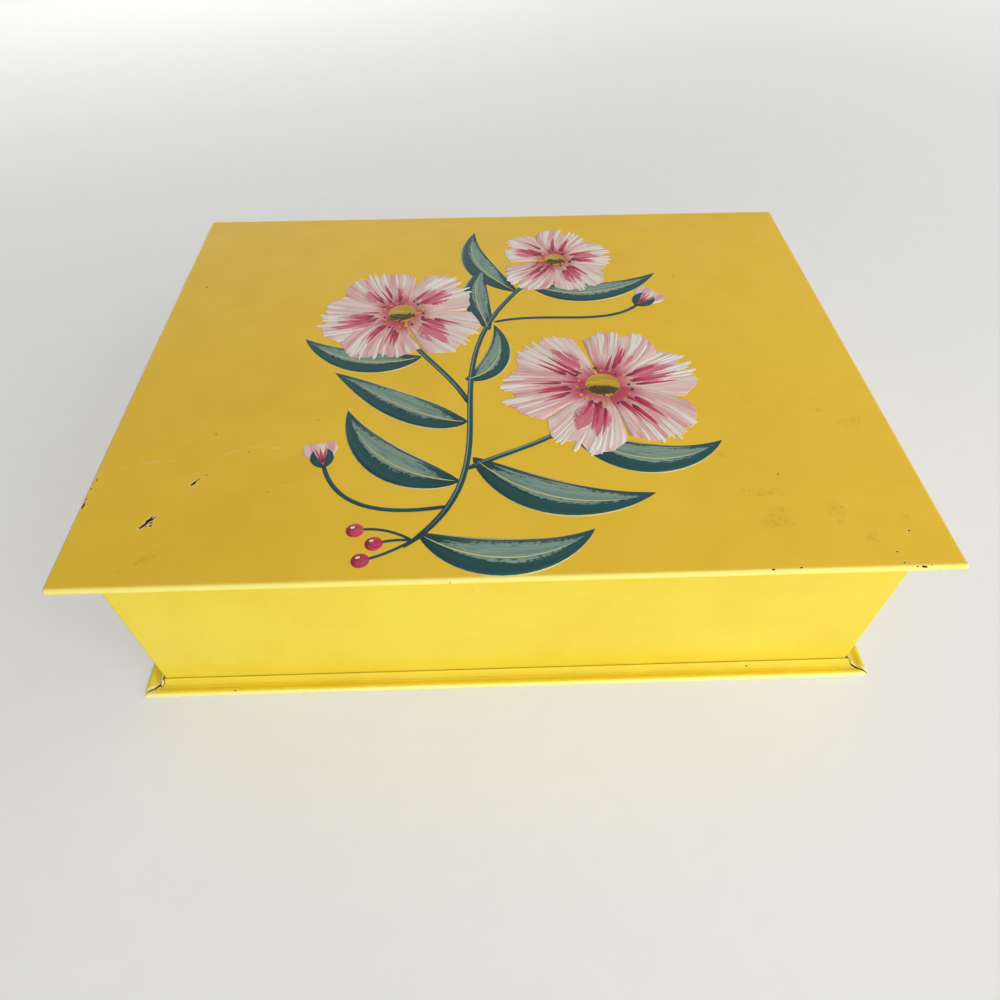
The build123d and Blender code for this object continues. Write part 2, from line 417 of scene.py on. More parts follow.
    def dimples(self, along: Signal, across: Signal, pitch: float, where: Operand = 1.0) -> None:
        """Presses a row of spot welds: small bowls at every pitch along a line.

        A bowl's height follows from the distance to the nearest weld.

        Args:
            along: How far along the row.
            across: How far beside it.
            pitch: From one weld to the next.
            where: 1 where the row is.
        """
        step = along.repeat(pitch)
        away = (step * step + across * across) ** 0.5
        bowl = away.ease(self.weld_reach, self.weld_floor) * where
        self.height = self.height - bowl * self.weld_depth
        self.stain_or_light(bowl * 0.16, self.pooled)

    def finish(self) -> bpy.types.Material:
        """Joins the layers into the surface shader.

        Returns:
            The finished material.
        """
        rust = self.canvas.noise(self.place, 420.0, 3.0, 0.7).ease(0.4, 0.65)
        metal = self.canvas.blend(self.enamel.steel, self.enamel.rust, rust * 0.6)
        rough = self.smear.ease(0.3, 0.75) * 0.16 + self.enamel.roughness
        return self.canvas.wire(
            Base_Color=self.canvas.blend(self.colour, metal, self.bare),
            Metallic=self.bare * self.enamel.shine,
            Roughness=rough + self.bare * 0.25,
            Normal=self.canvas.bump(self.height - self.bare * self.chip_depth, self.bump_depth),
            Coat_Weight=(1.0 - self.bare) * self.enamel.lacquer,
            Coat_Roughness=0.12,
            Specular_IOR_Level=self.enamel.gloss,
        )


@dataclass(frozen=True)
class DrawnWire:
    """Plain steel wire with drawing lines along X and a little tarnish."""

    name: str = "drawn_wire"
    colour: Rgb = swatch(168, 165, 158)
    tarnish: Rgb = swatch(96, 82, 68)

    def make(self) -> bpy.types.Material:
        """Makes the material.

        Returns:
            The finished material.
        """
        canvas = Canvas(self.name)
        place = canvas.place()
        x, y, z = canvas.split(place)
        lines = canvas.noise(canvas.join(x * 0.05, y * 6.0, z * 6.0), 1.0, 3.0, 0.6)
        dull = canvas.noise(place, 140.0, 3.0, 0.6).ease(0.5, 0.7)
        return canvas.wire(
            Base_Color=canvas.blend(self.colour, self.tarnish, dull * 0.7),
            Metallic=1.0 - dull * 0.35,
            Roughness=lines * 0.2 + dull * 0.25 + 0.25,
            Normal=canvas.bump(lines, 0.01),
        )


@dataclass(frozen=True)
class Pigment:
    """The colours of one stroke: its body, its streaks and its root.

    A dry stroke is broken by the grain, and what shows between its crumbs is the root colour.
    """

    main: Rgb
    light: Rgb
    root: Rgb
    root_reach: float = 0.0
    dry: float = 0.0


@dataclass(frozen=True)
class ArtistPaint:
    """Hand-laid oil paint whose streaks follow each stroke's own UV map and colours."""

    name: str = "artist_paint"

    def make(self) -> bpy.types.Material:
        """Makes the material.

        The UV map runs 0 to 1 along each stroke, and across it in millimetres with a
        different start for each stroke, so no two strokes share their streaks.

        Returns:
            The finished material.
        """
        canvas = Canvas(self.name)
        run = canvas.node("ShaderNodeUVMap", {"uv_map": "stroke"}, {})
        along = canvas.node("ShaderNodeSeparateXYZ", {}, {0: run}, "X")
        across = canvas.node("ShaderNodeSeparateXYZ", {}, {0: run}, "Y")
        main, light, root = (self._carried(canvas, name, "Color") for name in ("main", "light", "root"))
        reach, dry, spread = (self._carried(canvas, name) for name in ("root_reach", "dry", "spread"))
        hair = canvas.noise(canvas.join(along * 1.6, across * 1.5, 0.0), 1.0, 3.0, 0.65)
        body = canvas.noise(canvas.join(along * 0.9, across * 0.42, 5.0), 1.0, 2.0, 0.55)
        shade = (hair.ease(0.42, 0.64) * 0.55 + body.ease(0.4, 0.64) * 0.6).smaller(1.0)
        near = (reach - along + (hair - 0.5) * 0.6).ease(-0.12, 0.2) * reach.above(0.01)
        grain = canvas.noise(canvas.place(), 620.0, 4.0, 0.72)
        middle = 1.0 - abs(along * 2.0 - 1.0) ** 3.0
        cover = spread * 0.6 + middle * 0.45 + (hair - 0.5) * 1.1 + (grain - 0.5) * 1.5
        gaps = cover.ease(0.72, 0.52)
        colour = canvas.blend(canvas.blend(main, light, shade), root, near + (gaps - near) * dry)
        return canvas.wire(
            Base_Color=colour,
            Roughness=hair * 0.2 + 0.4,
            Normal=canvas.bump(hair, 0.08),
            Specular_IOR_Level=0.28,
        )

    @staticmethod
    def _carried(canvas: Canvas, name: str, output: str = "Fac") -> Signal:
        """A number that each stroke carries, or from the output Color a colour."""
        return canvas.node("ShaderNodeAttribute", {"attribute_name": name}, {}, output)


# Painted strokes


class Outline(Enum):
    """How wide a stroke is along its length."""

    LEAF = "pointed at both ends"
    PETAL = "narrow at the root and broad at the tip"
    LINE = "even, with round ends"
    BRISTLE = "thin, lifted off at the tip"
    DAB = "round"


@dataclass
class Strokes:
    """A set of raised paint strokes that becomes one piece.

    Each stroke is a closed thin pad whose back lies at a depth in the enamel. Its top is a
    grid of two parameters: s along the stroke and v across it. Its rim and back follow the
    same outline. Each stroke lies one layer_step over the last, and its streaks start one
    streak_step farther on.
    """

    seed: int
    ground: float
    points: list[np.ndarray] = field(default_factory=list)
    faces: list[np.ndarray] = field(default_factory=list)
    runs: list[np.ndarray] = field(default_factory=list)
    spreads: list[np.ndarray] = field(default_factory=list)
    pigments: list[tuple[Pigment, int]] = field(default_factory=list)
    depth: float = 0.01
    layer_step: float = 0.0006
    streak_step: float = 37.0

    def __post_init__(self) -> None:
        """Starts the seeded randomness."""
        self.random = np.random.default_rng(self.seed)

    @staticmethod
    def bezier(path: np.ndarray, s: np.ndarray) -> np.ndarray:
        """Points on a Bezier curve: each control point weighted by its binomial share.

        Args:
            path: The control points, one row of x and y each.
            s: Where along the curve, 0 to 1, in any shape.

        Returns:
            The points, with x and y on a new last axis.
        """
        order = len(path) - 1
        shares = [math.comb(order, k) * s**k * (1 - s) ** (order - k) for k in range(order + 1)]
        return sum(share[..., None] * path[k] for k, share in enumerate(shares))

    @classmethod
    def beside(cls, path: np.ndarray, s: np.ndarray, away: np.ndarray) -> np.ndarray:
        """Points at a distance to the left of a Bezier curve.

        Args:
            path: The control points.
            s: Where along the curve, 0 to 1.
            away: How far to its left, in millimetres.

        Returns:
            The points, with x and y on a new last axis.
        """
        ahead = cls.bezier(path, s + 0.01) - cls.bezier(path, s - 0.01)
        ahead /= np.maximum(np.linalg.norm(ahead, axis=-1, keepdims=True), 1e-9)
        left = np.stack([-ahead[..., 1], ahead[..., 0]], axis=-1)
        return cls.bezier(path, s) + left * np.asarray(away)[..., None]

    @staticmethod
    def breadth(outline: Outline, s: np.ndarray) -> np.ndarray:
        """Half of the stroke's width along it, as a share of its widest.

        Leaf: the sine of half a turn, fuller towards the root. Petal: opens from the root
        with a power of s. Line: one, with circular ends. Bristle: opens at once and closes
        slowly. Dab: a circle.

        Args:
            outline: Which of the shapes.
            s: Where along the stroke, 0 to 1, in any shape.

        Returns:
            The shares, 0 to 1.
        """
        if outline is Outline.LEAF:
            return np.sin(np.pi * s**0.82) ** 0.85
        if outline is Outline.PETAL:
            return 0.17 + 0.83 * s**0.75
        if outline is Outline.LINE:
            return np.sqrt(np.clip(1 - (1 - np.clip(np.minimum(s, 1 - s) * 20, 0, 1)) ** 2, 0, 1))
        if outline is Outline.BRISTLE:
            return np.clip(s * 7, 0, 1) ** 0.5 * (1 - s**1.6) ** 0.8
        return np.sqrt(np.clip(1 - (2 * s - 1) ** 2, 0, 1))

    def lay(
        self,
        path: Union[np.ndarray, list[tuple[float, float]]],
        width: float,
        outline: Outline,
        pigment: Pigment,
        level: float,
        thick: float = 0.05,
        fringe: float = 0.0,
        notch: float = 0.0,
        waver: float = 0.0,
        cells: tuple[int, int] = (14, 6),
        aside: float = 0.0,
        span: tuple[float, float] = (0.0, 1.0),
    ) -> None:
        """Lays one stroke.

        Args:
            path: Control points of its middle line, in millimetres on the lid.
            width: Its widest, in millimetres.
            outline: How wide it is along its length.
            pigment: Its colours.
            level: How much paint lies under it, in millimetres.
            thick: How thick its own paint is.
            fringe: How much of its length the bristles leave ragged at the tip.
            notch: How deep the dip in the middle of its tip is, as a share of its length.
            waver: How much its width wanders, as a share.
            cells: Cells of the grid along and across.
            aside: How far to the left of the path its widest part lies, in millimetres.
            span: The part of the path that it covers, from start to end.
        """
        rows, columns = cells
        control = np.array(path, float)
        s = 0.5 - 0.5 * np.cos(np.linspace(0.0, np.pi, rows + 1))[:, None]
        v = np.linspace(-1.0, 1.0, columns + 1)[None, :]
        bite = self.random.random(columns + 1)
        bite = 0.6 * bite + 0.2 * np.roll(bite, 1) + 0.2 * np.roll(bite, -1)
        reach = 1.0 - fringe * bite - notch * np.exp(-((v / 0.28) ** 2))
        if outline is Outline.PETAL:
            reach = reach - 0.3 * np.abs(v) ** 3.5
        t = span[0] + (span[1] - span[0]) * s * reach
        wander = 1.0 + waver * np.sin(s * 8.0 + self.random.random() * 6.3 + np.sign(v) * 1.3)
        breadth = np.maximum(self.breadth(outline, s * np.ones_like(v)), 0.02)
        flat = self.beside(control, t, breadth * (v * 0.5 * width * wander + aside))
        own = level + self.layer_step * len(self.pigments)
        rise = own + thick * (1 - 0.8 * np.abs(v) ** 4) * (1 - 0.6 * s**12)
        sunk = np.full(flat.shape[:2], self.ground - self.depth)
        top = np.dstack([flat, self.ground + rise]).reshape(-1, 3)
        back = np.dstack([flat, sunk]).reshape(-1, 3)
        self._close(top, back, rows, columns)
        across = (v * 0.5 * width + self.streak_step * len(self.pigments)) * np.ones_like(s)
        run = np.dstack([s * np.ones_like(v), across]).reshape(-1, 2)
        self.runs.append(np.concatenate([run, run]))
        self.spreads.append(np.tile(((1.0 - v**2) * np.ones_like(s)).ravel(), 2))
        self.pigments.append((pigment, 2 * len(run)))

    def bristle(
        self, path: np.ndarray, width: float, pigment: Pigment, level: float, cells: tuple[int, int] = (10, 3)
    ) -> None:
        """Lays the thin stroke of one bristle."""
        self.lay(path, width, Outline.BRISTLE, pigment, level, 0.03, cells=cells)

    def inside(
        self, path: np.ndarray, width: float, outline: Outline, share: float, start: float, end: float
    ) -> np.ndarray:
        """Four control points that run along inside a stroke laid before.

        Args:
            path: That stroke's control points.
            width: Its widest.
            outline: How wide it is along its length.
            share: How far aside to run, from -1 at its right edge to 1 at its left.
            start: Where along it to start, 0 to 1.
            end: Where to end.

        Returns:
            The control points.
        """
        s = np.linspace(start, end, 4)
        away = share * 0.5 * width * self.breadth(outline, np.clip(s, 0.02, 1.0))
        return self.beside(path, s, away)

    def dab(self, middle: np.ndarray, size: float, pigment: Pigment, level: float, thick: float) -> None:
        """Lays a small round dab."""
        half = np.array([size / 2, 0.0])
        self.lay([middle - half, middle + half], size, Outline.DAB, pigment, level, thick, cells=(6, 4))

    def _close(self, top: np.ndarray, back: np.ndarray, rows: int, columns: int) -> None:
        """Adds the faces of one pad: top grid, back grid turned over, and the rim between.

        Args:
            top: The points of the top grid, row after row.
            back: The points of the back, in the same order.
            rows: Cells along the stroke.
            columns: Cells across it.
        """
        size = (rows + 1) * (columns + 1)
        start = sum(len(block) for block in self.points)
        grid = np.arange(size).reshape(rows + 1, columns + 1)
        quad = np.stack([grid[:-1, :-1], grid[1:, :-1], grid[1:, 1:], grid[:-1, 1:]], -1).reshape(-1, 4)
        loop = np.concatenate([grid[0, :-1], grid[:-1, -1], grid[-1, :0:-1], grid[:0:-1, 0]])
        following = np.roll(loop, -1)
        rim = np.stack([loop, following, following + size, loop + size], -1)
        every = np.concatenate([quad, quad[:, ::-1] + size, rim])
        self.points.append(np.concatenate([top, back]))
        self.faces.append(every + start)

    @staticmethod
    def _carry(mesh: bpy.types.Mesh, name: str, values: np.ndarray) -> None:
        """Stores a number for each point of a mesh, or a colour if there are three.

        Args:
            mesh: The mesh.
            name: What the material reads it by.
            values: One row for each point.
        """
        kind, key = "FLOAT", "value"
        if values.ndim > 1:
            kind, key = "FLOAT_COLOR", "color"
            values = np.column_stack([values, np.ones(len(values))])
        carried = mesh.attributes.new(name, kind, "POINT")
        carried.data.foreach_set(key, values.astype(np.float32).ravel())

    def make(self, name: str, material: bpy.types.Material) -> bpy.types.Object:
        """Puts the strokes into one mesh object on the lid.

        Args:
            name: The piece's name.
            material: What it is painted with.

        Returns:
            The piece, riding on the lid.
        """
        points = np.concatenate(self.points) * MM
        faces = np.concatenate(self.faces)
        mesh = bpy.data.meshes.new(name)
        mesh.from_pydata(points.tolist(), [], faces.tolist())
        layer = mesh.uv_layers.new(name="stroke")
        corner = np.zeros(len(mesh.loops), np.int32)
        mesh.loops.foreach_get("vertex_index", corner)
        layer.data.foreach_set("uv", np.concatenate(self.runs)[corner].astype(np.float32).ravel())
        sizes = [size for _, size in self.pigments]
        for part in ("main", "light", "root", "root_reach", "dry"):
            values = [getattr(pigment, part) for pigment, _ in self.pigments]
            self._carry(mesh, part, np.repeat(values, sizes, axis=0))
        self._carry(mesh, "spread", np.concatenate(self.spreads))
        mesh.polygons.foreach_set("use_smooth", np.ones(len(mesh.polygons), bool))
        mesh.materials.append(material)
        mesh.update()
        piece = bpy.data.objects.new(name, mesh)
        bpy.context.scene.collection.objects.link(piece)
        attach(piece, "lid")
        log.info("%s: %d strokes, %d faces", name, len(self.pigments), len(faces))
        return piece


# The painted spray


@dataclass(frozen=True)
class Blossom:
    """A round open flower seen from above."""

    name: str
    x: float
    y: float
    size: float
    petals: int
    turn: float


@dataclass(frozen=True)
class Leaf:
    """An oval leaf along a curve from its root to its tip."""

    path: tuple[tuple[float, float], ...]
    width: float
    lit_side: int = 1


@dataclass(frozen=True)
class Bud:
    """A closed bud on its own stem."""

    stem: tuple[tuple[float, float], ...]
    size: float


@dataclass
class FlowerSpray:
    """A loose spray of round blossoms, oval leaves, buds and berries on the lid."""

    pink: Pigment = Pigment(swatch(226, 158, 158), swatch(243, 222, 212), swatch(196, 66, 96), 0.3)
    blush: Pigment = Pigment(swatch(233, 184, 178), swatch(246, 232, 220), swatch(206, 92, 112), 0.22)
    white: Pigment = Pigment(swatch(238, 224, 212), swatch(250, 246, 236), swatch(240, 214, 206))
    rose: Pigment = Pigment(swatch(186, 40, 80), swatch(212, 92, 116), swatch(146, 26, 62), 0.3)
    flush: Pigment = Pigment(swatch(214, 100, 124), swatch(226, 140, 150), swatch(236, 196, 190), 0.0, 1.0)
    gold: Pigment = Pigment(swatch(190, 146, 26), swatch(222, 184, 62), swatch(120, 84, 22))
    umber: Pigment = Pigment(swatch(48, 38, 20), swatch(82, 64, 28), swatch(36, 30, 18))
    shadow: Pigment = Pigment(swatch(58, 44, 18), swatch(96, 74, 24), swatch(178, 134, 26), 0.0, 1.0)
    teal: Pigment = Pigment(swatch(20, 66, 68), swatch(30, 82, 80), swatch(14, 50, 54), 0.15)
    sage: Pigment = Pigment(swatch(120, 148, 136), swatch(150, 172, 152), swatch(92, 126, 120), 0.2)
    dry_sage: Pigment = Pigment(swatch(112, 142, 132), swatch(142, 166, 150), swatch(20, 64, 66), 0.0, 1.0)
    straw: Pigment = Pigment(swatch(214, 200, 120), swatch(226, 214, 146), swatch(196, 184, 108))
    blossoms: tuple[Blossom, ...] = (
        Blossom("blossom_front", 42.0, -24.0, 84.0, 6, 12.0),
        Blossom("blossom_left", -44.0, 30.0, 76.0, 5, 40.0),
        Blossom("blossom_back", 30.0, 74.0, 60.0, 5, 5.0),
    )
    stems: tuple[tuple[tuple[float, float], ...], ...] = (
        ((-36.0, -106.0), (16.0, -64.0), (-44.0, -8.0), (4.0, 40.0), (28.0, 70.0)),
        ((-14.0, -70.0), (6.0, -58.0), (30.0, -54.0), (40.0, -30.0)),
        ((-13.0, -34.0), (-22.0, -10.0), (-40.0, 0.0), (-44.0, 26.0)),
    )
    buds: tuple[Bud, ...] = (
        Bud(((-2.0, 22.0), (22.0, 30.0), (50.0, 16.0), (66.0, 34.0)), 15.0),
        Bud(((-21.0, -88.0), (-44.0, -92.0), (-62.0, -88.0), (-68.0, -66.0)), 13.0),
    )
    leaves: tuple[Leaf, ...] = (
        Leaf(((-31.0, -100.0), (-10.0, -116.0), (14.0, -114.0), (30.0, -100.0)), 15.0, 1),
        Leaf(((-17.0, -76.0), (-38.0, -74.0), (-56.0, -60.0), (-62.0, -36.0)), 16.0, -1),
        Leaf(((-12.0, -64.0), (6.0, -86.0), (30.0, -92.0), (54.0, -84.0)), 16.0, 1),
        Leaf(((-14.0, -44.0), (-30.0, -44.0), (-50.0, -28.0), (-70.0, -12.0)), 15.0, -1),
        Leaf(((-15.0, -18.0), (-2.0, -16.0), (4.0, 2.0), (-2.0, 20.0)), 11.0, 1),
        Leaf(((-4.0, 16.0), (-10.0, 36.0), (-14.0, 52.0), (-4.0, 70.0)), 12.0, -1),
        Leaf(((10.0, 46.0), (-8.0, 62.0), (-16.0, 80.0), (-10.0, 102.0)), 14.0, -1),
        Leaf(((16.0, 52.0), (36.0, 38.0), (60.0, 44.0), (78.0, 60.0)), 14.0, 1),
        Leaf(((26.0, -50.0), (44.0, -70.0), (66.0, -72.0), (84.0, -58.0)), 15.0, 1),
        Leaf(((-34.0, -2.0), (-52.0, -10.0), (-72.0, -4.0), (-86.0, 12.0)), 14.0, -1),
    )
    berries: tuple[tuple[float, float], ...] = ((-46.0, -104.0), (-53.0, -98.0), (-50.0, -111.0))

    def paint(self) -> None:
        """Paints the leaves first, then stems, buds and berries, and the blossoms over them."""
        flowers = enumerate(self.blossoms, 1)
        pieces = [
            *((f"leaf_{k}", 200 + k, self.paint_leaf, leaf) for k, leaf in enumerate(self.leaves, 1)),
            ("stems_and_berries", 31, self.paint_stems, self.stems),
            *((f"bud_{k}", 400 + k, self.paint_bud, bud) for k, bud in enumerate(self.buds, 1)),
            *((flower.name, 500 + k, self.paint_blossom, flower) for k, flower in flowers),
        ]
        material = ArtistPaint().make()
        for name, seed, paint, subject in pieces:
            strokes = Strokes(seed, LID_TOP)
            paint(strokes, subject)
            strokes.make(name, material)

    def paint_leaf(self, strokes: Strokes, leaf: Leaf) -> None:
        """A straw outline, a teal body, sage dragged dry over one half, bristles and a vein.

        Args:
            strokes: The piece's strokes, laid on in order.
            leaf: Its curve, its width and its lit side.
        """
        path = np.array(leaf.path, float)
        width, side, draw = leaf.width, leaf.lit_side, strokes.random.uniform
        grid = (28, 8)
        lit = {"waver": 0.05, "cells": grid, "aside": side * width * 0.15, "span": (0.1, 0.93)}
        strokes.lay(path, width + 1.1, Outline.LEAF, self.straw, 0.0, 0.02, cells=(28, 6))
        strokes.lay(path, width, Outline.LEAF, self.teal, 0.02, 0.04, waver=0.03, cells=grid)
        strokes.lay(path, width * 0.62, Outline.LEAF, self.dry_sage, 0.06, 0.03, **lit)
        for _ in range(9):
            start = draw(0.1, 0.5)
            end = min(start + draw(0.2, 0.45), 0.95)
            share = draw(-0.15, 0.86) * side
            run = strokes.inside(path, width, Outline.LEAF, share, start, end)
            strokes.bristle(run, draw(0.4, 1.0), self.sage, 0.1)
        strokes.lay(path, 0.55, Outline.BRISTLE, self.straw, 0.12, 0.03, cells=(20, 3), span=(0.03, 0.86))

    def paint_stems(self, strokes: Strokes, stems: tuple[tuple[tuple[float, float], ...], ...]) -> None:
        """Teal lines with a thin sage light along their left side, then the berries.

        Args:
            strokes: The piece's strokes, laid on in order.
            stems: Each stem's control points.
        """
        lit = {"aside": 0.5, "span": (0.04, 0.9)}
        for stem in stems:
            strokes.lay(stem, 2.3, Outline.LINE, self.teal, 0.06, 0.06, waver=0.08, cells=(40, 5))
            strokes.lay(stem, 0.6, Outline.BRISTLE, self.sage, 0.12, 0.03, cells=(36, 3), **lit)
        for berry in self.berries:
            self.paint_berry(strokes, berry)

    def paint_berry(self, strokes: Strokes, berry: tuple[float, float]) -> None:
        """A short stalk and a round rose dab with a white light.

        Args:
            strokes: The piece's strokes, laid on in order.
            berry: Its middle.
        """
        x, y = berry
        stalk = [(-33.0, -103.0), ((x - 33.0) / 2, y + 2.0), (x, y)]
        round_dab, light = [(x - 3.1, y), (x + 3.1, y)], [(x - 1.7, y + 1.1), (x - 0.1, y + 1.5)]
        strokes.lay(stalk, 1.1, Outline.LINE, self.teal, 0.06, 0.05)
        strokes.lay(round_dab, 6.0, Outline.DAB, self.rose, 0.08, 0.07, cells=(12, 8))
        strokes.lay(light, 1.0, Outline.DAB, self.white, 0.14, 0.03, cells=(8, 4))

    def paint_bud(self, strokes: Strokes, bud: Bud) -> None:
        """A curved stem, three folded petals and a two-part calyx at their root.

        Args:
            strokes: The piece's strokes, laid on in order.
            bud: Its stem and its size.
        """
        path = np.array(bud.stem, float)
        strokes.lay(path, 1.7, Outline.LINE, self.teal, 0.06, 0.06, cells=(30, 4))
        tip, before = path[-1], path[-2]
        ahead = (tip - before) / np.linalg.norm(tip - before)
        left = np.array([-ahead[1], ahead[0]])
        size = bud.size
        petals = ((-0.32, self.pink, 0.1), (0.32, self.pink, 0.11), (0.0, self.blush, 0.13))
        for lean, pigment, level in petals:
            end = tip + ahead * size + left * lean * size
            mid = tip + ahead * size * 0.5 + left * lean * size * 0.9
            strokes.lay([tip, mid, end], size * 0.5, Outline.PETAL, pigment, level, 0.05, 0.12, cells=(14, 8))
        for lean in (-0.2, 0.0, 0.16):
            end = tip + ahead * size * 0.72 + left * lean * size
            strokes.bristle([tip + ahead, end], 1.4, self.rose, 0.19, (8, 3))
        for lean in (-1.0, 1.0):
            mid = tip + ahead * size * 0.25 + left * lean * size * 0.34
            end = tip + ahead * size * 0.62 + left * lean * size * 0.2
            strokes.lay([tip - ahead * 1.5, mid, end], size * 0.24, Outline.LEAF, self.teal, 0.2, 0.05)

    def paint_blossom(self, strokes: Strokes, blossom: Blossom) -> None:
        """Broad petals round an eye, with white lights at their tips and rose at their roots.

        Args:
            strokes: The piece's strokes, laid on in order.
            blossom: Its place, size, petals and turn.
        """
        middle = np.array([blossom.x, blossom.y])
        size, draw, petal = blossom.size, strokes.random.uniform, Outline.PETAL
        for k in range(blossom.petals):
            angle = math.radians(blossom.turn + 360.0 * k / blossom.petals + draw(-5, 5))
            out = np.array([math.cos(angle), math.sin(angle)])
            side = np.array([-out[1], out[0]])
            length = size * 0.5 * draw(0.93, 1.04)
            width = size * (2.35 / blossom.petals)
            bend = side * (draw(-0.07, 0.07) * size)
            root, belly, tip = out * 0.07 * size, out * length * 0.55 + bend, out * length
            path = middle + np.array([root, belly, tip])
            pigment = self.pink if k % 2 else self.blush
            level = 0.1 + 0.035 * (k % 2) + 0.004 * k
            strokes.lay(path, width, petal, pigment, level, 0.06, 0.1, 0.09, 0.02, (22, 22))
            for _ in range(2):
                share = draw(-0.5, 0.5)
                run = strokes.inside(path, width, petal, share, 0.2, draw(0.7, 0.85))
                strokes.lay(run, width * 0.3, Outline.LEAF, self.flush, 0.175, 0.02, cells=(14, 6))
            for _ in range(13):
                share = draw(-0.86, 0.86)
                start = draw(0.93, 1.03) - 0.26 * abs(share) ** 2.5
                run = strokes.inside(path, width, petal, share, start, start - draw(0.25, 0.55))
                strokes.bristle(run, draw(0.7, 2.2), self.white, 0.2)
            for _ in range(7):
                share, start = draw(-0.6, 0.6), draw(0.12, 0.3)
                run = strokes.inside(path, width, petal, share, start, start + draw(0.25, 0.5))
                strokes.bristle(run, draw(0.8, 2.4), self.rose, 0.22)
        self.paint_eye(strokes, middle, size)

    def paint_eye(self, strokes: Strokes, middle: np.ndarray, size: float) -> None:
        """A gold eye, dark on its near side, in a ring of gold and dark dots.

        Args:
            strokes: The piece's strokes, laid on in order.
            middle: The blossom's middle.
            size: The blossom's width.
        """
        radius, draw = size * 0.085, strokes.random.uniform
        left, right = middle - (radius, 0), middle + (radius, 0)
        low = np.array([0.0, 0.42 * radius])
        shade = [left - low, right - low]
        strokes.lay([left, right], 2 * radius, Outline.DAB, self.gold, 0.27, 0.08, cells=(16, 12))
        strokes.lay(shade, 1.05 * radius, Outline.LEAF, self.shadow, 0.325, 0.03, cells=(14, 8))
        for _ in range(46):
            angle = draw(math.radians(185), math.radians(355))
            away = radius * draw(0.35, 1.0) * np.array([math.cos(angle), math.sin(angle)])
            strokes.dab(middle + away, draw(0.5, 1.3), self.umber, 0.34, 0.03)
        for k in range(22):
            angle = 2 * math.pi * k / 22 + draw(-0.1, 0.1)
            away = radius * draw(1.25, 1.85) * np.array([math.cos(angle), math.sin(angle)])
            strokes.dab(middle + away, draw(0.9, 1.6), self.gold if k % 3 else self.umber, 0.3, 0.04)


# The box


def assign(nodes: dict[str, bpy.types.Object], names: tuple[str, ...], material: bpy.types.ID) -> None:
    """Puts a material on CAD nodes.

    Args:
        nodes: Every CAD node by its name.
        names: The nodes to dress.
        material: What they are made of.
    """
    for name in names:
        slots = nodes[name].data.materials
        slots.clear()
        slots.append(material)
        log.info("%s: %s", name, material.name)


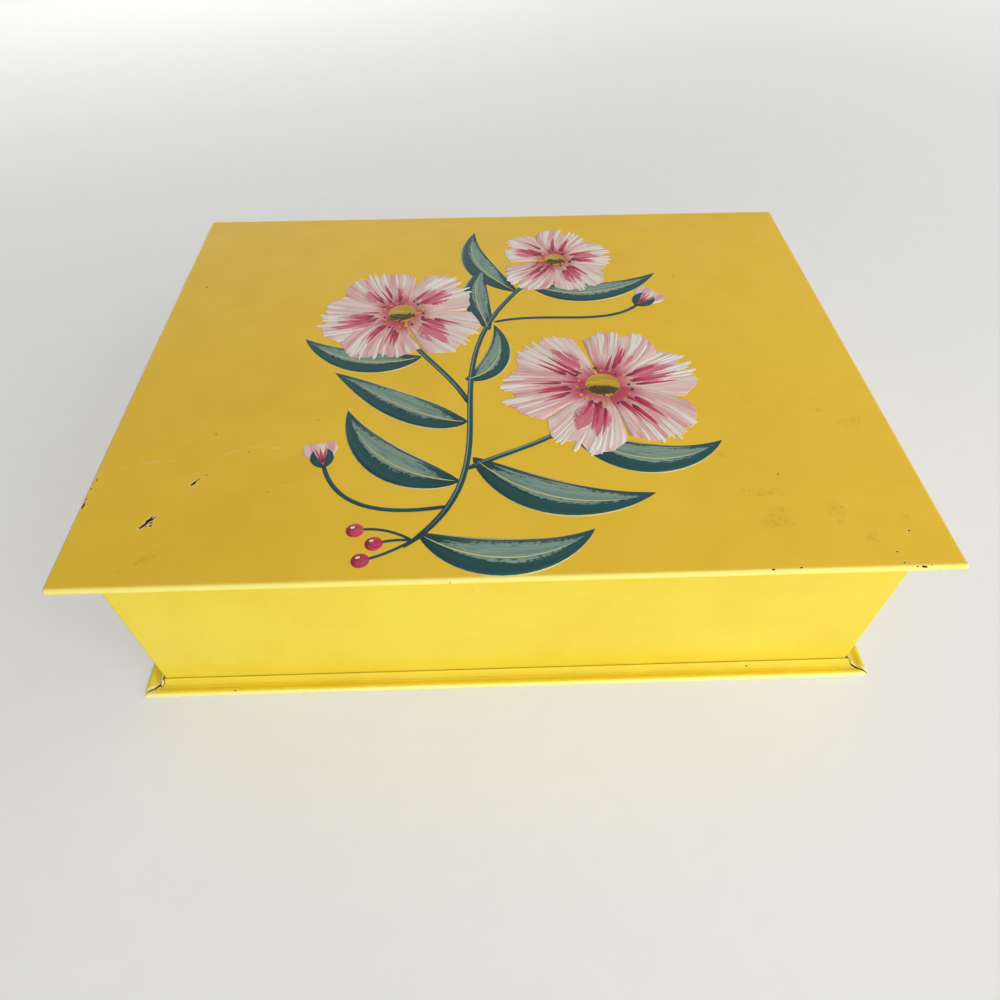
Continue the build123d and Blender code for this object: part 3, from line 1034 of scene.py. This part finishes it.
@dataclass
class Shell:
    """The sheets that the box is folded from, dressed in enamel.

    The lid and the base are measured to their outer edges, where each has a rolled bead.
    fold and hollow say how far in from the edge the base's fold and the gap under it reach.
    rim and seam are the rows of spot welds in the rim's flange and the back wall's ends:
    where they start, how far out they lie, and from one weld to the next.
    """

    nodes: dict[str, bpy.types.Object]
    half_lid_width: float = 152.5
    half_lid_depth: float = 120.0
    half_base_width: float = 150.1
    half_base_depth: float = 117.6
    bead: float = 1.4
    mitre_face: float = 0.45
    fold_reach: float = 7.2
    fold_start: float = 0.7
    hollow_reach: float = 7.6
    rim_level: float = 81.0
    rim_front: float = 104.4
    rim_side: float = 136.9
    rim_pitch: float = 36.0
    seam_back: float = 109.0
    seam_side: float = 135.5
    seam_pitch: float = 16.0
    wall_enamel: Enamel = Enamel(swatch(243, 220, 68), swatch(236, 208, 56))
    # Painted shade: the walls' enamel, tinted warmer and darker for the lid's top
    lid_shaded_enamel: Enamel = Enamel(swatch(251, 207, 65), swatch(243, 196, 55), gloss=0.14, lacquer=0.03)
    # Painted highlight along the lid's front and back beads
    lid_front_highlight: Rgb = swatch(254, 244, 144)
    # Painted highlight along the lid's side beads, also their worn pale edge
    lid_side_highlight_and_wear: Rgb = swatch(246, 218, 168)
    # Painted highlight along the base's front and back beads
    base_front_highlight: Rgb = swatch(255, 254, 168)
    # Painted highlight along the base's side beads
    base_side_highlight: Rgb = swatch(248, 228, 180)
    # Painted highlight along the mitres' cut edges
    cut_edge_highlight: Rgb = swatch(255, 240, 192)
    # Painted highlight on the rounded corner tips
    rolled_tip_highlight: Rgb = swatch(252, 242, 176)
    # Painted shade in the hollow under the fold
    hollow_shade: Rgb = swatch(84, 46, 10)
    grime_brown: Rgb = swatch(112, 80, 26)
    burr_brown: Rgb = swatch(92, 60, 26)
    burr_pale: Rgb = swatch(252, 232, 180)
    chips: tuple[Mark, ...] = (
        Mark(-126.6, -92.9, 4.4, 1.0, 53.0),
        Mark(-125.6, -91.0, 3.0, 1.5, 40.0),
        Mark(-125.2, -90.0, 2.4, 0.6, 70.0),
        Mark(-124.4, -90.1, 2.0, 0.5, 37.0),
        Mark(-124.4, -92.1, 1.5, 0.7, 44.0),
        Mark(-124.4, -93.5, 1.3, 0.7, 39.0),
        Mark(-126.1, -93.6, 1.5, 0.3, -30.0),
        Mark(-114.4, -74.0, 2.4, 1.1, 56.0),
        Mark(-113.3, -72.3, 2.8, 0.5, 52.0),
        Mark(-110.6, -69.8, 0.8, 0.4, 50.0),
        Mark(137.1, -119.4, 1.8, 0.6, -6.0),
        Mark(-151.0, -83.1, 3.2, 0.8, 85.0),
        Mark(-151.0, -80.2, 0.9, 0.6, 83.0),
        Mark(-151.0, -75.2, 1.0, 0.5, 90.0),
    )
    pits: tuple[Mark, ...] = (
        Mark(100.4, -76.5, 0.6, 0.5),
        Mark(137.9, -104.4, 0.7, 0.6),
        Mark(130.2, -113.2, 0.8, 0.5),
        Mark(96.2, -118.6, 0.7, 0.6),
        Mark(86.7, -119.0, 1.2, 0.5),
        Mark(130.9, -117.9, 0.7, 0.5),
        Mark(139.6, -118.8, 0.5, 0.4),
        Mark(152.0, -118.2, 0.7, 0.5),
        Mark(134.8, -119.3, 0.6, 0.4),
        Mark(-150.4, -70.7, 1.8, 0.4, 90.0),
        Mark(-97.2, -58.3, 0.6, 0.5),
        Mark(-112.0, -48.0, 0.9, 0.4, 60.0),
    )
    smudges: tuple[Mark, ...] = (
        Mark(93.5, -85.2, 15.0, 5.0, 8.0),
        Mark(94.0, -97.0, 12.0, 9.0, 40.0),
        Mark(116.3, -94.5, 10.0, 8.0, 70.0),
        Mark(80.3, -64.9, 12.0, 5.0, -20.0),
        Mark(137.8, -48.5, 10.0, 8.0),
        Mark(126.6, -42.2, 7.0, 3.0),
        Mark(139.8, -98.5, 5.0, 4.0),
        Mark(123.8, -107.3, 5.0, 7.0),
        Mark(-122.0, -108.0, 14.0, 4.0, 28.0),
    )
    burr: Mark = Mark(-143.5, -112.0, 1.9, 0.8, 50.0)
    base_chip: Mark = Mark(-112.5, -116.6, 0.8, 0.5)
    scratches: tuple[Mark, ...] = (
        Mark(-129.5, -65.0, 30.0, 0.5, 5.0, 3.0),
        Mark(-96.0, -59.4, 25.0, 0.45, 8.0, 3.6),
        Mark(-82.0, -77.0, 9.0, 0.4, 10.0, 0.8),
    )

    def dress(self) -> None:
        """Gives each sheet its coat."""
        assign(self.nodes, ("lid_panel",), self.lid_coat())
        assign(self.nodes, ("base_pan",), self.base_coat())
        assign(self.nodes, ("wall_wrap", "back_wall", "lid_rim"), self.wall_coat())

    def lid_coat(self) -> bpy.types.Material:
        """The lid's enamel, with its chips, scratches, smudges and worn edge; its top is tinted with painted
        shade, and painted highlights run along its beads.

        Returns:
            The finished material.
        """
        coating = Coating("lid_shaded_enamel", self.lid_shaded_enamel)
        side = abs(coating.x) - (self.half_lid_width - self.bead)
        end = abs(coating.y) - (self.half_lid_depth - self.bead)
        edge = side.larger(end)
        face = coating.z.ease(LID_TOP - 0.35, LID_TOP - 0.15)
        top = face.larger(edge.above(-self.bead) * coating.z.above(LID_TOP - 1.8))
        # Only the top keeps the painted shade; the rest of the lid takes the walls' enamel
        coating.repaint(1.0 - face, self.wall_enamel)
        # Painted highlight along the front and back beads
        coating.stain_or_light(end.ease(-0.4, 0.8) * 0.7, self.lid_front_highlight)
        # Painted highlight along the side beads, which are also worn pale
        coating.stain_or_light(side.ease(-0.2, 0.7) * 0.55, self.lid_side_highlight_and_wear)
        grain = coating.canvas.noise(coating.place, 620.0, 4.0, 0.75)
        grime = (grain.ease(0.53, 0.66) * 0.34 + 0.06) * top
        for mark in self.smudges:
            coating.stain_or_light(coating.patch(mark, 1.8, 210.0).ease(1.25, 0.2) * grime, self.grime_brown)
        coating.hairlines(top * 0.35)
        for mark in self.scratches:
            coating.scratch(mark, top)
        coating.specks()
        for mark in self.chips + self.pits:
            coating.chip(mark, top)
        worn = coating.canvas.noise(coating.place, 260.0, 4.0, 0.7)
        coating.strip(worn.ease(0.72, 0.75) * edge.ease(-0.4, 0.4) * 0.8)
        return coating.finish()

    def base_coat(self) -> bpy.types.Material:
        """The base's enamel: painted highlights on its beads, on the cut edges at the mitres and on the
        corner tips, painted shade in the hollows at the mitres, and a bared burr at one corner.

        Returns:
            The finished material.
        """
        coating = Coating("base_enamel", self.wall_enamel)
        to_side = self.half_base_width - abs(coating.x)
        to_end = self.half_base_depth - abs(coating.y)
        seam = abs(to_side - to_end) / math.sqrt(2)
        near = to_side.smaller(to_end)
        fold = near.below(self.fold_reach) * coating.z.above(self.fold_start)
        # Painted highlight along the base's front and back beads
        coating.stain_or_light(to_end.ease(self.bead, 0.3) * 0.8, self.base_front_highlight)
        # Painted highlight along the side beads
        coating.stain_or_light(to_side.ease(1.1, 0.3) * 0.7, self.base_side_highlight)
        # Painted highlight along the side strips' cut edges at the mitres
        cut = seam.ease(self.mitre_face + 0.9, self.mitre_face + 0.6)
        coating.stain_or_light(cut * fold * to_side.below(to_end) * 0.9, self.cut_edge_highlight)
        # Painted shade in the hollow under the fold near the mitres
        inside = near.above(1.0) * near.below(self.hollow_reach)
        low = coating.z.below(1.2) * coating.z.above(0.3)
        coating.stain_or_light(seam.below(3.0) * inside * low, self.hollow_shade)
        # Painted highlight on the rounded corner tips
        coating.stain_or_light(near.ease(1.6, 0.6) * seam.ease(2.4, 0.8) * 0.7, self.rolled_tip_highlight)
        worn = coating.canvas.noise(coating.place, 300.0, 4.0, 0.7)
        coating.strip(worn.ease(0.7, 0.74) * near.below(1.2) * 0.8)
        coating.strip(worn.ease(0.6, 0.66) * coating.z.below(0.05) * 0.8)
        burr = coating.patch(self.burr, 0.5)
        coating.stain_or_light(burr.ease(2.0, 1.5) * fold * 0.85, self.burr_brown)
        coating.stain_or_light(burr.ease(1.1, 0.8) * fold, self.burr_pale)
        coating.chip(self.base_chip, coating.z.above(1.0))
        coating.specks()
        return coating.finish()

    def wall_coat(self) -> bpy.types.Material:
        """The walls' and the rim's enamel, with the spot welds of the rim and the back wall's ends.

        Returns:
            The finished material.
        """
        coating = Coating("wall_enamel", self.wall_enamel)
        rim, seam = coating.z.above(self.rim_level), coating.y.above(self.seam_back)
        coating.dimples(coating.x, coating.y + self.rim_front, self.rim_pitch, rim)
        for side in (-1.0, 1.0):
            coating.dimples(coating.y, coating.x + self.rim_side * side, self.rim_pitch, rim)
            coating.dimples(coating.z, coating.x + self.seam_side * side, self.seam_pitch, seam)
        coating.hairlines(0.3)
        coating.specks()
        return coating.finish()


@dataclass
class Hinge:
    """The hinge along the back, with the paint rubbed off its knuckles.

    The leaf on the wall lies under wall_leaf_top and the lid's over lid_leaf_foot. Each has
    its row of spot welds.
    """

    nodes: dict[str, bpy.types.Object]
    axis_y: float = 112.66
    axis_z: float = 79.84
    worn_radius: float = 2.06
    wall_leaf_top: float = 75.0
    lid_leaf_foot: float = 78.0
    wall_weld: float = 70.4
    lid_weld: float = 102.0
    weld_pitch: float = 26.32
    enamel: Enamel = Enamel(
        swatch(240, 214, 64),
        swatch(228, 196, 54),
        steel=swatch(150, 138, 118),
        rust=swatch(104, 78, 52),
        roughness=0.38,
        shine=0.85,
    )

    def dress(self) -> None:
        """Gives the leaves their worn coat and the pin its plain steel."""
        coating = Coating("hinge_enamel", self.enamel)
        off_y, off_z = coating.y - self.axis_y, coating.z - self.axis_z
        away = (off_y * off_y + off_z * off_z) ** 0.5
        worn = coating.canvas.noise(coating.place, 150.0, 4.0, 0.65)
        coating.strip(worn.ease(0.5, 0.64) * away.below(self.worn_radius) * 0.75)
        on_wall, on_lid = coating.z.below(self.wall_leaf_top), coating.z.above(self.lid_leaf_foot)
        coating.dimples(coating.x, coating.z - self.wall_weld, self.weld_pitch, on_wall)
        coating.dimples(coating.x, coating.y - self.lid_weld, self.weld_pitch, on_lid)
        coating.specks()
        assign(self.nodes, ("hinge_leaf_body", "hinge_leaf_lid"), coating.finish())
        assign(self.nodes, ("hinge_pin",), DrawnWire().make())


# The studio


@dataclass(frozen=True)
class Softbox:
    """A soft lamp: its middle in millimetres, its sides in metres, its power in watts."""

    name: str
    place: tuple[float, float, float]
    width: float
    height: float
    power: float


@dataclass
class Studio:
    """A plain pale floor, soft lamps and the camera at the photograph's place.

    The camera's angles are in radians, its focal length is a share of the sensor's width,
    and half the floor's width is in metres.
    """

    camera_place: tuple[float, float, float] = (-6.9, -253.8, 276.0)
    yaw: float = -0.0265
    pitch: float = 0.8553
    roll: float = -0.0057
    focal_share: float = 0.7160
    sensor: float = 36.0
    floor_half: float = 6.0
    floor_colour: Rgb = swatch(236, 235, 232)
    floor_grain: Rgb = swatch(229, 228, 225)
    paper: Rgb = swatch(243, 243, 241)
    sky_light: float = 0.27
    softboxes: tuple[Softbox, ...] = (
        Softbox("front_softbox", (440.0, -860.0, 380.0), 1.6, 1.1, 11.0),
        Softbox("top_softbox", (680.0, -180.0, 740.0), 0.9, 0.9, 3.0),
        Softbox("rear_softbox", (-350.0, 1000.0, 170.0), 1.0, 0.26, 3.4),
    )

    def build(self) -> None:
        """Sets up the floor, the lamps, the sky and the camera."""
        self._floor()
        self._sky()
        for softbox in self.softboxes:
            self._lamp(softbox)
        self._camera()

    def _floor(self) -> None:
        """Lays a wide floor at the height of the table.

        Half of what is seen of it near the box is its own colour, so that it keeps the
        box's shadow, and farther out it turns into the plain background.
        """
        mesh = bpy.data.meshes.new("floor")
        corners = np.array([[-1, -1, 0], [1, -1, 0], [1, 1, 0], [-1, 1, 0]]) * self.floor_half
        mesh.from_pydata(corners.tolist(), [], [(0, 1, 2, 3)])
        canvas = Canvas("floor")
        x, y, _ = canvas.split(canvas.place())
        away = (x * x + y * y) ** 0.5
        share = away.ease(250.0, 1400.0) * 0.6 + 0.4
        plain = canvas.node("ShaderNodeEmission", {}, {"Color": (*self.paper, 1.0)})
        grain = canvas.noise(canvas.place(), 60.0, 3.0)
        canvas.wire(Base_Color=canvas.blend(self.floor_colour, self.floor_grain, grain), Roughness=0.8)
        lit = Signal(canvas, canvas.shader.outputs[0])
        surface = canvas.node("ShaderNodeMixShader", {}, {0: canvas.seen() * share, 1: lit, 2: plain})
        canvas.tree.links.new(surface.socket, canvas.tree.nodes["Material Output"].inputs[0])
        mesh.materials.append(canvas.owner)
        floor = bpy.data.objects.new("floor", mesh)
        bpy.context.scene.collection.objects.link(floor)

    def _sky(self) -> None:
        """Lights the scene evenly, and shows the plain background to the camera and in gloss."""
        canvas = Canvas("studio", sky=True)
        span = {"Value": canvas.seen(), "To Min": self.sky_light, "To Max": 1.0}
        level = canvas.node("ShaderNodeMapRange", {}, span)
        bpy.context.scene.world = canvas.wire(Color=(*self.paper, 1.0), Strength=level)

    def _lamp(self, softbox: Softbox) -> None:
        """Hangs one soft box, turned to the middle of the box.

        Args:
            softbox: Where it hangs, how large and how bright.
        """
        light = bpy.data.lights.new(softbox.name, "AREA")
        light.shape = "RECTANGLE"
        light.size, light.size_y = softbox.width, softbox.height
        light.energy = softbox.power
        lamp = bpy.data.objects.new(softbox.name, light)
        here = Vector(softbox.place) * MM
        lamp.location = here
        lamp.rotation_euler = (here - Vector((0, 0, 0.04))).to_track_quat("Z", "Y").to_euler()
        bpy.context.scene.collection.objects.link(lamp)

    def _camera(self) -> None:
        """Puts the camera where the photograph was taken from."""
        level = Vector((math.cos(self.yaw), math.sin(self.yaw), 0.0))
        forward = Vector((-math.sin(self.yaw), math.cos(self.yaw), 0.0))
        ahead = forward * math.cos(self.pitch) - Vector((0.0, 0.0, math.sin(self.pitch)))
        upright = level.cross(ahead)
        right = level * math.cos(self.roll) + upright * math.sin(self.roll)
        up = upright * math.cos(self.roll) - level * math.sin(self.roll)
        data = bpy.data.cameras.new("camera")
        data.sensor_width = self.sensor
        data.lens = self.sensor * self.focal_share
        data.clip_start = 0.01
        camera = bpy.data.objects.new("camera", data)
        turn = Matrix((right, up, -ahead)).transposed().to_4x4()
        camera.matrix_world = Matrix.Translation(Vector(self.camera_place) * MM) @ turn
        bpy.context.scene.collection.objects.link(camera)
        bpy.context.scene.camera = camera


def save_sizes() -> None:
    """Brings the view layer up to date.
    """
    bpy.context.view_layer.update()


def main() -> None:
    """Builds the dressed box in order."""
    logging.basicConfig(level=logging.INFO, format="%(name)s: %(message)s")
    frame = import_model()
    Studio().build()
    Shell(frame["nodes"]).dress()
    Hinge(frame["nodes"]).dress()
    FlowerSpray().paint()
    bpy.context.scene.view_settings.view_transform = "Standard"
    save_sizes()


if __name__ == "__main__":
    main()
